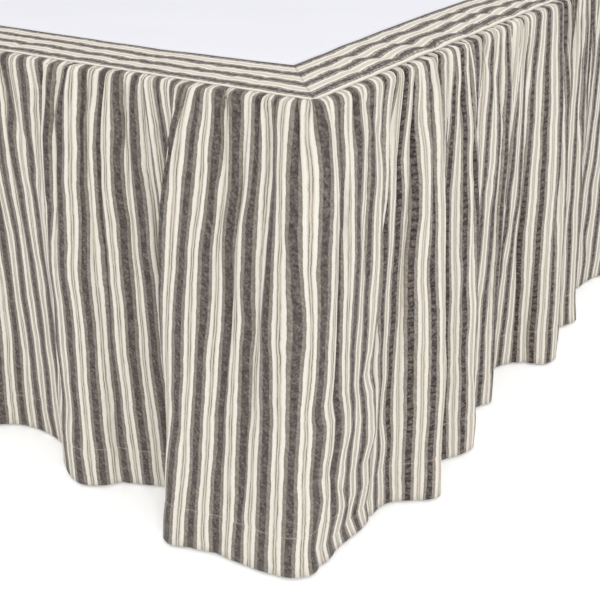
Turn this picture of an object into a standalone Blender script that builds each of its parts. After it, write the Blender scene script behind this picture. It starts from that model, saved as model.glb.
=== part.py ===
"""Twin bed skirt in ticking stripe, hung on a plain box spring with six legs.

The frame is metres with +Z up and the floor at z = 0. The foot of the bed faces -Y, the
open head end is at +Y, and the origin lies under the middle of the whole.
The cloth is worked out in plan, in millimetres from the right-hand foot corner of the seam:
x grows to the right, y grows towards the head, and "along" runs round the seam, negative
across the foot and positive up the right side.
"""

import math

import bmesh
import bpy
import numpy as np

MM = 0.001

# Box spring and legs
BED_WIDTH, BED_LENGTH = 991.0, 1930.0
BOX_THICK, BOX_TOP, BOX_ROUND, BOX_CORNER = 230.0, 403.6, 10.0, 20.0
BOX_CORNER_STEPS = 4
LEG_SIDE, LEG_INSET, LEG_ROWS = 50.0, 70.0, 3
FIT_GAP = 0.3

# Cloth on the deck
CLOTH = 1.2
SEAM_INSET = 5.0
BORDER = 80.0
SEAM_WIDTH = BED_WIDTH - 2 * SEAM_INSET
SEAM_DEPTH = BED_LENGTH - SEAM_INSET
SEAM_FOOT_Y = -926.0
CORNER_ROUND, CORNER_TURN = 10.0, 32.0
CORNER_SAVES = CORNER_ROUND * (1 - math.pi / 4)
FOOT_RUN = SEAM_WIDTH - 2 * CORNER_SAVES
SIDE_RUN = SEAM_DEPTH - CORNER_SAVES
DECK_LEVEL = BOX_TOP + FIT_GAP

# Ruffle
DROP = 412.0
FALL_STEP = 2.0
REPEAT = 23.0
LIES_FLAT, EDGE_BEND = 2.0, 6.5
SHOULDER = LIES_FLAT + EDGE_BEND
BOX_LEAN = 1.0
FULLEST = 0.8
JOIN_GAP, JOIN_STEP, SEAM_GAP = 0.7, 4.0, 0.5
RUFFLE_TOP = DECK_LEVEL + CLOTH / 2
HEM_LEVEL = 3.5
QUARTER_SHARES = (-1.0, -0.6, -0.2, 0.2, 0.6, 1.0)
CORNER_STEPS = [CORNER_ROUND * math.pi / 4 * share for share in QUARTER_SHARES]
FAN_STEPS = [CORNER_TURN * share for share in (-0.75, -0.45, 0.45, 0.75)]
COLUMN_STEP = 21.0
DOWN_STEPS = (0, 2, 8, 14, 80, 180, 290, DROP)

# Fold lines of the visible corner. "cloth" counts stripe repeats round the ruffle from the
# corner; "seam" is where that cloth is gathered to; the rest is where it hangs in plan.
FOLD_COLUMNS = ("cloth", "seam", "waist_x", "waist_y", "hem_x", "hem_y")
CORNER_FOLDS = (
    (-21.0, -371, -372, -17, -386, -27),
    (-20.0, -352, -351, -15, -363, -17),
    (-19.0, -333, -335, -15, -339, -14),
    (-18.0, -315, -315, -15, -317, -16),
    (-17.0, -292, -293, -17, -298, -22),
    (-16.0, -272, -276, -28, -281, -38),
    (-15.0, -254, -259, -39, -259, -52),
    (-14.0, -236, -242, -41, -237, -55),
    (-13.0, -218, -222, -34, -218, -46),
    (-12.0, -202, -204, -26, -200, -32),
    (-11.0, -181, -184, -20, -180, -23),
    (-10.0, -166, -163, -15, -159, -16),
    (-9.0, -155, -143, -14, -138, -14),
    (-7.7, -137, -119, -15, -113, -16),
    (-7.0, -126, -112, -25, -104, -32),
    (-6.2, -115, -127, -42, -108, -52),
    (-5.4, -103, -112, -48, -118, -73),
    (-5.0, -96, -103, -49, -110, -77),
    (-4.0, -76, -80, -45, -87, -73),
    (-3.0, -60, -59, -40, -63, -66),
    (-2.0, -42, -40, -39, -40, -65),
    (-1.0, -24, -19, -39, -16, -61),
    (0.0, -9, 3, -36, 6, -54),
    (1.0, 4, 15, -13, 20, -42),
    (2.0, 21, 18, 9, 23, -18),
    (3.0, 41, 18, 29, 23, 4),
    (4.0, 63, 17, 47, 25, 19),
    (5.0, 86, 17, 69, 28, 37),
    (7.0, 125, 17, 96, 29, 79),
    (8.0, 139, 31, 114, 45, 92),
    (9.0, 157, 42, 130, 61, 104),
    (9.4, 164, 46, 138, 67, 112),
    (11.4, 190, 22, 166, 30, 141),
    (13.0, 208, 27, 187, 44, 171),
    (14.0, 222, 38, 204, 56, 189),
    (14.6, 232, 43, 214, 60, 201),
    (17.0, 274, 20, 256, 22, 241),
    (19.0, 313, 24, 297, 35, 280),
    (19.7, 326, 28, 309, 42, 291),
    (21.8, 358, 17, 342, 17, 331),
    (24.0, 393, 17, 381, 19, 372),
    (25.0, 413, 20, 400, 31, 390),
    (26.0, 447, 31, 424, 50, 400),
    (27.0, 475, 41, 445, 65, 410),
    (27.8, 488, 44, 461, 68, 426),
    (30.3, 514, 22, 494, 27, 466),
    (33.0, 548, 29, 526, 50, 516),
    (33.6, 558, 33, 537, 56, 528),
    (36.4, 602, 20, 590, 22, 584),
    (38.4, 645, 19, 630, 24, 624),
    (40.0, 680, 27, 668, 32, 664),
)

# Folds of the rest of the skirt: mean sizes, and how far each fold strays from them
FOLD_LENGTH, FOLD_STRAY = 92.0, 0.2
CREST_OUT, VALLEY_OUT, OUT_STRAY = 52.0, 16.0, 7.0
CREST_AT = 0.6
WAIST_SHARE = 0.62
CLOTH_PER_CHORD = 1.06

# Where the three lengths of the ruffle are sewn together, counted in stripe repeats
RIGHT_JOIN = -8.4
JOIN_FROM_CORNER = 150.0


def clear_scene():
    for thing in list(bpy.data.objects):
        bpy.data.objects.remove(thing, do_unlink=True)


def material(name, colour, roughness, metallic=0.0):
    made = bpy.data.materials.new(name)
    made.use_nodes = True
    shader = made.node_tree.nodes["Principled BSDF"]
    shader.inputs["Base Color"].default_value = (*colour, 1.0)
    shader.inputs["Roughness"].default_value = roughness
    shader.inputs["Metallic"].default_value = metallic
    return made


def add_object(name, mesh, stuff):
    mesh.materials.append(stuff)
    made = bpy.data.objects.new(name, mesh)
    bpy.context.scene.collection.objects.link(made)
    return made


def stray(number, salt):
    """A repeatable value between -1 and 1 for fold `number`."""
    return 2 * math.modf(abs(math.sin(number * 12.9898 + salt * 78.233)) * 43758.5453)[0] - 1


def seam_line(along):
    """Plan point of the seam and the direction in which the cloth leaves it. The seam turns
    its corners tightly, and the cloth fans out round them over a longer stretch."""
    along = np.asarray(along, float)
    quarter = CORNER_ROUND * math.pi / 4
    right = np.clip((along + quarter) / (2 * quarter), 0, 1) * math.pi / 2
    left = np.clip((-FOOT_RUN + quarter - along) / (2 * quarter), 0, 1) * math.pi / 2
    straight = np.clip(along, -FOOT_RUN + quarter, -quarter) + quarter - CORNER_ROUND
    x = straight + CORNER_ROUND * (np.sin(right) - np.sin(left))
    up_right = np.maximum(along - quarter, 0)
    up_left = np.maximum(-FOOT_RUN - quarter - along, 0)
    y = CORNER_ROUND * (2 - np.cos(right) - np.cos(left)) + up_right + up_left
    fan = [np.clip((place + CORNER_TURN) / (2 * CORNER_TURN), 0, 1) for place in (along, -FOOT_RUN - along)]
    turn = sum(sign * share**2 * (3 - 2 * share) for sign, share in zip((1, -1), fan)) * math.pi / 2
    return np.stack([x, y], -1), np.stack([np.sin(turn), -np.cos(turn)], -1)


def out_of_seam(plan):
    """How far plan points stand out from the lines of the seam, rounded as the box is."""
    rounding = BOX_CORNER - SEAM_INSET
    x = np.maximum(plan[..., 0], -SEAM_WIDTH - plan[..., 0]) + rounding
    y = rounding - plan[..., 1]
    return np.hypot(np.maximum(x, 0), np.maximum(y, 0)) + np.minimum(np.maximum(x, y), 0) - rounding


def hung(along, out):
    point, outward = seam_line(along)
    return point + out * outward


def fold_row(cloth, seam, hem_along, out):
    """A fold line of the plain rule: it stands out more at the hem than at the waist."""
    waist_out = SHOULDER + (out - SHOULDER) * WAIST_SHARE
    waist = hung((seam + hem_along) / 2, max(waist_out, VALLEY_OUT))
    return (cloth, seam, *waist, *hung(hem_along, out))


def further_folds(first, sign, end, salt):
    """Valley and crest lines from the row `first` to `end`, with the left corner turned."""
    rows, along, number = [], first[1], 0
    cloth, hem = first[0], np.array(first[4:6], float)
    corner = -FOOT_RUN
    while sign * (end - along) > 0.45 * FOLD_LENGTH:
        number += 1
        length = FOLD_LENGTH * (1 + FOLD_STRAY * stray(number, salt))
        crest = CREST_OUT + OUT_STRAY * stray(number, salt + 1)
        valley = VALLEY_OUT + 0.3 * OUT_STRAY * (1 + stray(number, salt + 2))
        crest_share = CREST_AT if sign > 0 else 1 - CREST_AT
        steps = [(along + sign * length * crest_share, crest), (along + sign * length, valley)]
        if sign < 0 and along > corner > along - 1.5 * length:
            steps = [(corner + length / 2, crest), (corner + 9, crest), (corner, crest + 4),
                     (corner - 9, crest), (corner - length / 2, crest), (corner - length, valley)]
        for place, out in steps:
            place = sign * min(sign * place, sign * end)
            point = hung(place, out)
            cloth += sign * CLOTH_PER_CHORD * float(np.linalg.norm(point - hem)) / REPEAT
            rows.append(fold_row(cloth, place, place, out))
            hem, along = point, place
    return rows


def all_folds():
    right = further_folds(CORNER_FOLDS[-1], 1, SIDE_RUN, 1)
    left = further_folds(CORNER_FOLDS[0], -1, -FOOT_RUN - SIDE_RUN, 5)
    return np.array([*reversed(left), *CORNER_FOLDS, *right], float)


def smooth(places, knots, values):
    """A smooth curve through `values` at `knots`, read at `places`."""
    gap = np.diff(knots)[:, None]
    slope = np.diff(values, axis=0) / gap
    inner = (slope[:-1] * gap[1:] + slope[1:] * gap[:-1]) / (gap[1:] + gap[:-1])
    tangent = np.vstack([slope[:1], inner, slope[-1:]])
    i = np.clip(np.searchsorted(knots, places) - 1, 0, len(knots) - 2)
    width = (knots[i + 1] - knots[i])[:, None]
    t = (places - knots[i])[:, None] / width
    return (values[i] * (2 * t**3 - 3 * t**2 + 1) + tangent[i] * width * (t**3 - 2 * t**2 + t)
            + values[i + 1] * (3 * t**2 - 2 * t**3) + tangent[i + 1] * width * (t**3 - t**2))


def ruffle_points(folds, cloth, down):
    """Points of the hanging cloth, a row for each step down and a column for each place
    along it: out over the box edge, then down through the waist to a level hem. Cloth that
    moves sideways falls less, so each column keeps its own length."""
    rows = smooth(cloth, folds[:, 0], folds[:, 1:])
    seam, outward = seam_line(rows[:, 0])
    shoulder, waist, hem = seam + outward * (SEAM_GAP + SHOULDER), rows[:, 1:3], rows[:, 3:5]
    fine = np.arange(0, DROP + FALL_STEP, FALL_STEP)[:, None, None]
    bend = np.clip((fine - LIES_FLAT) / EDGE_BEND, 0, math.pi / 2)
    over_edge = np.minimum(fine, LIES_FLAT) + EDGE_BEND * np.sin(bend)
    t, middle = (np.maximum(fine - LIES_FLAT, 0) / (DROP - LIES_FLAT)) ** FULLEST, 0.5**FULLEST
    plan = (shoulder * (t - middle) * (t - 1) / middle
            + waist * t * (t - 1) / (middle * (middle - 1))
            + hem * t * (t - middle) / (1 - middle)
            + outward * (over_edge - SHOULDER))
    over_edge = over_edge[..., 0]
    plan += outward * np.maximum(over_edge - BOX_LEAN - out_of_seam(plan), 0)[..., None]
    sideways = (np.diff(plan, axis=0) ** 2).sum(-1)
    fall = np.sqrt(np.maximum(FALL_STEP**2 - sideways, (0.05 * FALL_STEP) ** 2))
    fallen = np.vstack([np.zeros(len(cloth)), np.cumsum(fall, 0)])
    height = RUFFLE_TOP - (RUFFLE_TOP - HEM_LEVEL) * fallen / fallen[-1]
    solid = np.concatenate([plan, height[..., None]], -1)
    chosen = np.rint(np.asarray(down) / FALL_STEP).astype(int)
    return solid[chosen]


def corner_places(steps):
    """Places along the seam that step round its two corners."""
    return [corner + step for corner in (-FOOT_RUN, 0.0) for step in steps]


def columns_between(folds, first, last):
    """Cloth places of the mesh columns: fold lines and corners, with more between them."""
    corners = np.interp(corner_places(CORNER_STEPS + FAN_STEPS), folds[:, 1], folds[:, 0])
    knots = np.sort(np.concatenate([folds[:, 0], corners]))
    knots = knots[(knots > first + 0.3) & (knots < last - 0.3)]
    hem_in = JOIN_STEP / REPEAT
    knots = np.array([first, first + hem_in, *knots, last - hem_in, last])
    parts = np.maximum(1, np.rint(np.diff(knots) * REPEAT / COLUMN_STEP)).astype(int)
    return np.concatenate([np.linspace(a, b, n, endpoint=False)
                           for a, b, n in zip(knots[:-1], knots[1:], parts)] + [[last]])


def to_bed(points):
    """Plan millimetres from the seam corner to metres in the frame."""
    return (np.asarray(points, float) + (SEAM_WIDTH / 2, SEAM_FOOT_Y, 0)) * MM


def cloth_sheet(name, grid, stuff, thickness=CLOTH):
    """A grid of points made into one closed cloth of even thickness."""
    down, across = grid.shape[:2]
    mesh = bpy.data.meshes.new(name)
    index = np.arange(down * across).reshape(down, across)
    faces = np.stack([index[:-1, :-1], index[1:, :-1], index[1:, 1:], index[:-1, 1:]], -1)
    mesh.from_pydata(grid.reshape(-1, 3).tolist(), [], faces.reshape(-1, 4).tolist())
    made = add_object(name, mesh, stuff)
    solidify = made.modifiers.new("Cloth thickness", "SOLIDIFY")
    solidify.thickness = thickness * MM
    solidify.offset = 0.0
    solidify.use_even_offset = False
    return made


def flat_piece(name, outline, bottom, thickness, stuff):
    """A flat plate: the plan outline raised by its thickness."""
    form = bmesh.new()
    corners = [form.verts.new(to_bed((x, y, bottom))) for x, y in outline]
    face = form.faces.new(corners)
    raised = bmesh.ops.extrude_face_region(form, geom=[face])["geom"]
    bmesh.ops.translate(form, vec=(0, 0, thickness * MM),
                        verts=[v for v in raised if isinstance(v, bmesh.types.BMVert)])
    bmesh.ops.recalc_face_normals(form, faces=form.faces)
    mesh = bpy.data.meshes.new(name)
    form.to_mesh(mesh)
    form.free()
    return add_object(name, mesh, stuff)


def block(name, size, centre, rounding, stuff):
    """A box with softened edges, sizes and centre in millimetres of the frame."""
    form = bmesh.new()
    bmesh.ops.create_cube(form, size=1.0)
    bmesh.ops.scale(form, vec=[s * MM for s in size], verts=form.verts)
    bmesh.ops.bevel(form, geom=form.edges, offset=rounding * MM, segments=2, profile=0.5,
                    affect="EDGES")
    mesh = bpy.data.meshes.new(name)
    form.to_mesh(mesh)
    form.free()
    made = add_object(name, mesh, stuff)
    made.location = [c * MM for c in centre]
    return made


def build_box_spring(middle_y, cover):
    """A plate with round corners in plan and softened edges at its top and bottom."""
    reach_x, reach_y = BED_WIDTH / 2 - BOX_CORNER, BED_LENGTH / 2 - BOX_CORNER
    form = bmesh.new()
    corners = []
    for number, (x, y) in enumerate(((1, 1), (-1, 1), (-1, -1), (1, -1))):
        for step in range(BOX_CORNER_STEPS + 1):
            turn = (number + step / BOX_CORNER_STEPS) * math.pi / 2
            corners.append(form.verts.new((MM * (x * reach_x + BOX_CORNER * math.cos(turn)),
                                           MM * (y * reach_y + BOX_CORNER * math.sin(turn)), 0)))
    face = form.faces.new(corners)
    raised = bmesh.ops.extrude_face_region(form, geom=[face])["geom"]
    bmesh.ops.translate(form, vec=(0, 0, BOX_THICK * MM),
                        verts=[v for v in raised if isinstance(v, bmesh.types.BMVert)])
    bmesh.ops.recalc_face_normals(form, faces=form.faces)
    level = [e for e in form.edges if abs(e.verts[0].co.z - e.verts[1].co.z) < MM]
    bmesh.ops.bevel(form, geom=level, offset=BOX_ROUND * MM, segments=2, profile=0.5, affect="EDGES")
    mesh = bpy.data.meshes.new("box_spring")
    form.to_mesh(mesh)
    form.free()
    made = add_object("box_spring", mesh, cover)
    made.location = (0, middle_y * MM, (BOX_TOP - BOX_THICK) * MM)


def build_box_and_legs(cover, wood):
    middle_y = SEAM_FOOT_Y - SEAM_INSET + BED_LENGTH / 2
    build_box_spring(middle_y, cover)
    height = BOX_TOP - BOX_THICK - FIT_GAP
    reach_x = BED_WIDTH / 2 - LEG_INSET
    reach_y = BED_LENGTH / 2 - LEG_INSET
    for side, x in (("left", -reach_x), ("right", reach_x)):
        for row in range(LEG_ROWS):
            y = middle_y - reach_y + row * 2 * reach_y / (LEG_ROWS - 1)
            block(f"leg_{side}_{row + 1}", (LEG_SIDE, LEG_SIDE, height), (x, y, height / 2), 3.0, wood)


def border_strip(name, start, end, inner_corners, stuff):
    """A strip of border from `start` to `end` along the seam, mitred at its inner corners."""
    places = sorted([start, end, *(place for place in corner_places(CORNER_STEPS) if start < place < end)])
    outer = [tuple(hung(place, 0.0)) for place in places]
    flat_piece(name, outer + inner_corners, DECK_LEVEL, CLOTH, stuff)


def build_deck(plain, striped):
    """The plain deck and the three mitred border strips round it."""
    left, head, mitre = -SEAM_WIDTH, SEAM_DEPTH, JOIN_GAP * 0.75
    inside, deck_edge = BORDER - JOIN_GAP / 2, BORDER + JOIN_GAP / 2
    flat_piece("deck", [(left + deck_edge, deck_edge), (-deck_edge, deck_edge),
                        (-deck_edge, head), (left + deck_edge, head)], DECK_LEVEL, CLOTH, plain)
    border_strip("border_foot", -FOOT_RUN + mitre, -mitre,
                 [(-inside - mitre, inside), (left + inside + mitre, inside)], striped)
    border_strip("border_right", mitre, SIDE_RUN, [(-inside, head), (-inside, inside + mitre)], striped)
    border_strip("border_left", -FOOT_RUN - SIDE_RUN, -FOOT_RUN - mitre,
                 [(left + inside, inside + mitre), (left + inside, head)], striped)


def build_ruffle(striped):
    folds = all_folds()
    near = np.argmin(np.abs(folds[:, 1] + FOOT_RUN - JOIN_FROM_CORNER))
    left_join = folds[near : near + 2, 0].mean()
    spans = (("ruffle_left", folds[0, 0], left_join - JOIN_GAP / 2 / REPEAT),
             ("ruffle_foot", left_join + JOIN_GAP / 2 / REPEAT, RIGHT_JOIN - JOIN_GAP / 2 / REPEAT),
             ("ruffle_right", RIGHT_JOIN + JOIN_GAP / 2 / REPEAT, folds[-1, 0]))
    for name, first, last in spans:
        places = columns_between(folds, first, last)
        cloth_sheet(name, to_bed(ruffle_points(folds, places, DOWN_STEPS)), striped)


def build():
    clear_scene()
    striped = material("striped_cotton", (0.47, 0.44, 0.41), 0.9)
    plain = material("deck_cotton", (0.86, 0.86, 0.87), 0.85)
    cover = material("box_cover", (0.80, 0.78, 0.74), 0.85)
    wood = material("leg_wood", (0.36, 0.22, 0.12), 0.5)
    build_box_and_legs(cover, wood)
    build_deck(plain, striped)
    build_ruffle(striped)


build()
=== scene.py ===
# %% [markdown]
# # A ticking-stripe bed skirt on its box spring
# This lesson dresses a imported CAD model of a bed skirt. The CAD model gives the true size and the
# main folds. Here each length of cloth is made again with many more points, so that it can carry
# small gathers, creases and a woven stripe. Everything is in metres, with the floor at z = 0, the
# foot of the bed towards -Y and the right-hand side towards +X.

# %% Load the frame
import functools
import math

import bpy
import numpy as np
from mathutils import Matrix, Vector


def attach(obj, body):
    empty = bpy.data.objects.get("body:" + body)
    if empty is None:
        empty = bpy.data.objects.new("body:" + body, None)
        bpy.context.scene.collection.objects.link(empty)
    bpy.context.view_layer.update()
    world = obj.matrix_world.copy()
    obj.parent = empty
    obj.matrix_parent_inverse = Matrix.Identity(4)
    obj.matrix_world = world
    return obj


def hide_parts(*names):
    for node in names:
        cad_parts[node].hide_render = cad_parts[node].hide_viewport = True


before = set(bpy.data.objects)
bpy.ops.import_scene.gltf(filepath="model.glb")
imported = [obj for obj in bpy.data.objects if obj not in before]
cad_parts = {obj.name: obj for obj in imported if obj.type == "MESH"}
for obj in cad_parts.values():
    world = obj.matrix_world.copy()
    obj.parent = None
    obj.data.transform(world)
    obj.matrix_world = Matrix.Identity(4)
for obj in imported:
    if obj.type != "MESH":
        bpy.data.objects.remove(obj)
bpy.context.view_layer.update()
MM = 0.001

# %% [markdown]
# ## The sizes of the real thing
# A bed skirt is cut from a few sizes that a maker writes down first: the bed, the drop, the width
# of the border and the repeat of the stripe. They are the same numbers as in the CAD source, in
# millimetres. The cloth is worked out in plan from the right-hand foot corner of the seam: x grows
# to the right, y towards the head, and "along" runs round the seam, negative across the foot.

# %% Bed, seam and cloth sizes
BED_WIDTH, BED_LENGTH = 991.0, 1930.0
BOX_TOP, BOX_CORNER = 403.6, 20.0
CLOTH = 1.2
SEAM_INSET, BORDER = 5.0, 80.0
SEAM_WIDTH = BED_WIDTH - 2 * SEAM_INSET
SEAM_DEPTH = BED_LENGTH - SEAM_INSET
SEAM_FOOT_Y = -926.0
CORNER_ROUND, CORNER_TURN = 10.0, 32.0
CORNER_SAVES = CORNER_ROUND * (1 - math.pi / 4)
FOOT_RUN = SEAM_WIDTH - 2 * CORNER_SAVES
SIDE_RUN = SEAM_DEPTH - CORNER_SAVES
DECK_LEVEL = BOX_TOP + 0.3
RUFFLE_TOP = DECK_LEVEL + CLOTH / 2
HEM_LEVEL = 3.5
DROP, HEM_DEPTH = 412.0, 40.0
REPEAT = 23.0
LIES_FLAT, EDGE_BEND = 2.0, 6.5
SHOULDER = LIES_FLAT + EDGE_BEND
SEAM_GAP, JOIN_GAP = 0.5, 0.7
BOX_LEAN = 1.0
FULLEST = 0.8
print(f"seam: {FOOT_RUN:.0f} mm across the foot and {SIDE_RUN:.0f} mm up each side")

# %% [markdown]
# ## The fold lines
# Gathered cloth hangs in folds, and each fold has lines that can be followed from the seam to the
# hem. A table gives the lines of the corner that is seen most closely: which stripe it is, where
# that stripe is sewn into the seam, and where it hangs at half the drop and at the hem.

# %% The corner's fold lines
FOLD_COLUMNS = ("cloth", "seam", "waist_x", "waist_y", "hem_x", "hem_y")
CORNER_FOLDS = (
    (-21.0, -371, -372, -17, -386, -27),
    (-20.0, -352, -351, -15, -363, -17),
    (-19.0, -333, -335, -15, -339, -14),
    (-18.0, -315, -315, -15, -317, -16),
    (-17.0, -292, -293, -17, -298, -22),
    (-16.0, -272, -276, -28, -281, -38),
    (-15.0, -254, -259, -39, -259, -52),
    (-14.0, -236, -242, -41, -237, -55),
    (-13.0, -218, -222, -34, -218, -46),
    (-12.0, -202, -204, -26, -200, -32),
    (-11.0, -181, -184, -20, -180, -23),
    (-10.0, -166, -163, -15, -159, -16),
    (-9.0, -155, -143, -14, -138, -14),
    (-7.7, -137, -119, -15, -113, -16),
    (-7.0, -126, -112, -25, -104, -32),
    (-6.2, -115, -127, -42, -108, -52),
    (-5.4, -103, -112, -48, -118, -73),
    (-5.0, -96, -103, -49, -110, -77),
    (-4.0, -76, -80, -45, -87, -73),
    (-3.0, -60, -59, -40, -63, -66),
    (-2.0, -42, -40, -39, -40, -65),
    (-1.0, -24, -19, -39, -16, -61),
    (0.0, -9, 3, -36, 6, -54),
    (1.0, 4, 15, -13, 20, -42),
    (2.0, 21, 18, 9, 23, -18),
    (3.0, 41, 18, 29, 23, 4),
    (4.0, 63, 17, 47, 25, 19),
    (5.0, 86, 17, 69, 28, 37),
    (7.0, 125, 17, 96, 29, 79),
    (8.0, 139, 31, 114, 45, 92),
    (9.0, 157, 42, 130, 61, 104),
    (9.4, 164, 46, 138, 67, 112),
    (11.4, 190, 22, 166, 30, 141),
    (13.0, 208, 27, 187, 44, 171),
    (14.0, 222, 38, 204, 56, 189),
    (14.6, 232, 43, 214, 60, 201),
    (17.0, 274, 20, 256, 22, 241),
    (19.0, 313, 24, 297, 35, 280),
    (19.7, 326, 28, 309, 42, 291),
    (21.8, 358, 17, 342, 17, 331),
    (24.0, 393, 17, 381, 19, 372),
    (25.0, 413, 20, 400, 31, 390),
    (26.0, 447, 31, 424, 50, 400),
    (27.0, 475, 41, 445, 65, 410),
    (27.8, 488, 44, 461, 68, 426),
    (30.3, 514, 22, 494, 27, 466),
    (33.0, 548, 29, 526, 50, 516),
    (33.6, 558, 33, 537, 56, 528),
    (36.4, 602, 20, 590, 22, 584),
    (38.4, 645, 19, 630, 24, 624),
    (40.0, 680, 27, 668, 32, 664),
)
print(len(CORNER_FOLDS), "fold lines, columns", ", ".join(FOLD_COLUMNS))

# %% [markdown]
# ## The rest of the skirt
# Away from that corner the folds follow a rule: a mean length and stand-out, with a repeatable
# stray for each fold. It is the same rule as in the CAD source, so both models hang alike.

# %% Seam line and rule for the further folds
FOLD_LENGTH, FOLD_STRAY = 92.0, 0.2
SHORTEST_FOLD = 0.45 * FOLD_LENGTH
CREST_OUT, VALLEY_OUT, OUT_STRAY = 52.0, 16.0, 7.0
VALLEY_STRAY = 0.3 * OUT_STRAY
CREST_AT, WAIST_SHARE, CLOTH_PER_CHORD = 0.6, 0.62, 1.06
CORNER_FOLD_FROM, CORNER_FOLD_HALF, CORNER_FOLD_RISE = 1.5, 9.0, 4.0
RIGHT_JOIN, JOIN_FROM_CORNER = -8.4, 150.0


def stray(number, salt):
    """A repeatable value between -1 and 1 for fold `number`."""
    return 2 * math.modf(abs(math.sin(number * 12.9898 + salt * 78.233)) * 43758.5453)[0] - 1


def eased(share):
    """A share from 0 to 1 that starts and stops gently."""
    return share**2 * (3 - 2 * share)


def seam_line(along):
    """Plan point of the seam and the direction in which the cloth leaves it. The seam turns
    its corners tightly, and the cloth fans out round them over a longer stretch."""
    along = np.asarray(along, float)
    quarter = CORNER_ROUND * math.pi / 4
    right = np.clip((along + quarter) / (2 * quarter), 0, 1) * math.pi / 2
    left = np.clip((-FOOT_RUN + quarter - along) / (2 * quarter), 0, 1) * math.pi / 2
    straight = np.clip(along, -FOOT_RUN + quarter, -quarter) + quarter - CORNER_ROUND
    x = straight + CORNER_ROUND * (np.sin(right) - np.sin(left))
    up_right = np.maximum(along - quarter, 0)
    up_left = np.maximum(-FOOT_RUN - quarter - along, 0)
    y = CORNER_ROUND * (2 - np.cos(right) - np.cos(left)) + up_right + up_left
    right_fan, left_fan = (np.clip((past + CORNER_TURN) / (2 * CORNER_TURN), 0, 1)
                           for past in (along, -FOOT_RUN - along))
    turn = (eased(right_fan) - eased(left_fan)) * math.pi / 2
    return np.stack([x, y], -1), np.stack([np.sin(turn), -np.cos(turn)], -1)


def out_of_seam(plan):
    """How far plan points stand out from the lines of the seam, rounded as the box is."""
    rounding = BOX_CORNER - SEAM_INSET
    x = np.maximum(plan[..., 0], -SEAM_WIDTH - plan[..., 0]) + rounding
    y = rounding - plan[..., 1]
    return np.hypot(np.maximum(x, 0), np.maximum(y, 0)) + np.minimum(np.maximum(x, y), 0) - rounding


def hung(along, out):
    point, outward = seam_line(along)
    return point + out * outward


def fold_row(cloth, seam, hem_along, out):
    """A fold line of the plain rule: it stands out more at the hem than at the waist."""
    waist_out = SHOULDER + (out - SHOULDER) * WAIST_SHARE
    waist = hung((seam + hem_along) / 2, max(waist_out, VALLEY_OUT))
    return (cloth, seam, *waist, *hung(hem_along, out))


def further_folds(first, sign, end, salt):
    """Valley and crest lines from the row `first` to `end`, with the left corner turned."""
    rows, along, number = [], first[1], 0
    cloth, hem = first[0], np.array(first[4:6], float)
    corner = -FOOT_RUN
    while sign * (end - along) > SHORTEST_FOLD:
        number += 1
        length = FOLD_LENGTH * (1 + FOLD_STRAY * stray(number, salt))
        crest = CREST_OUT + OUT_STRAY * stray(number, salt + 1)
        valley = VALLEY_OUT + VALLEY_STRAY * (1 + stray(number, salt + 2))
        crest_share = CREST_AT if sign > 0 else 1 - CREST_AT
        steps = [(along + sign * length * crest_share, crest), (along + sign * length, valley)]
        if sign < 0 and along > corner > along - CORNER_FOLD_FROM * length:
            steps = [(corner + length / 2, crest), (corner + CORNER_FOLD_HALF, crest),
                     (corner, crest + CORNER_FOLD_RISE), (corner - CORNER_FOLD_HALF, crest),
                     (corner - length / 2, crest), (corner - length, valley)]
        for place, out in steps:
            place = sign * min(sign * place, sign * end)
            point = hung(place, out)
            cloth += sign * CLOTH_PER_CHORD * float(np.linalg.norm(point - hem)) / REPEAT
            rows.append(fold_row(cloth, place, place, out))
            hem, along = point, place
    return rows


def all_folds():
    right = further_folds(CORNER_FOLDS[-1], 1, SIDE_RUN, 1)
    left = further_folds(CORNER_FOLDS[0], -1, -FOOT_RUN - SIDE_RUN, 5)
    return np.array([*reversed(left), *CORNER_FOLDS, *right], float)


folds = all_folds()
FIRST, LAST = folds[0, 0], folds[-1, 0]
print(f"{len(folds)} fold lines over {(LAST - FIRST) * REPEAT / 1000:.2f} m of cloth")

# %% [markdown]
# ## From fold lines to a hanging surface
# A smooth curve joins the fold lines along the cloth. Down the cloth, a short flat part is
# followed by a bend over the edge of the box and then an easy curve through the waist to the hem.
# Cloth doesn't stretch, so what moves sideways falls less.

# %% The hanging surface
FALL_STEP = 2.0
LEAST_FALL = 0.05 * FALL_STEP


def smooth(places, knots, values):
    """A smooth curve through `values` at `knots`, read at `places`."""
    gap = np.diff(knots)[:, None]
    slope = np.diff(values, axis=0) / gap
    inner = (slope[:-1] * gap[1:] + slope[1:] * gap[:-1]) / (gap[1:] + gap[:-1])
    tangent = np.vstack([slope[:1], inner, slope[-1:]])
    i = np.clip(np.searchsorted(knots, places) - 1, 0, len(knots) - 2)
    width = (knots[i + 1] - knots[i])[:, None]
    t = (places - knots[i])[:, None] / width
    return (values[i] * (2 * t**3 - 3 * t**2 + 1) + tangent[i] * width * (t**3 - 2 * t**2 + t)
            + values[i + 1] * (3 * t**2 - 2 * t**3) + tangent[i + 1] * width * (t**3 - t**2))


def over_box_edge(down):
    """How far out of the seam the cloth has gone after `down` millimetres of its own length."""
    bend = np.clip((down - LIES_FLAT) / EDGE_BEND, 0, math.pi / 2)
    return np.minimum(down, LIES_FLAT) + EDGE_BEND * np.sin(bend)


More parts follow.
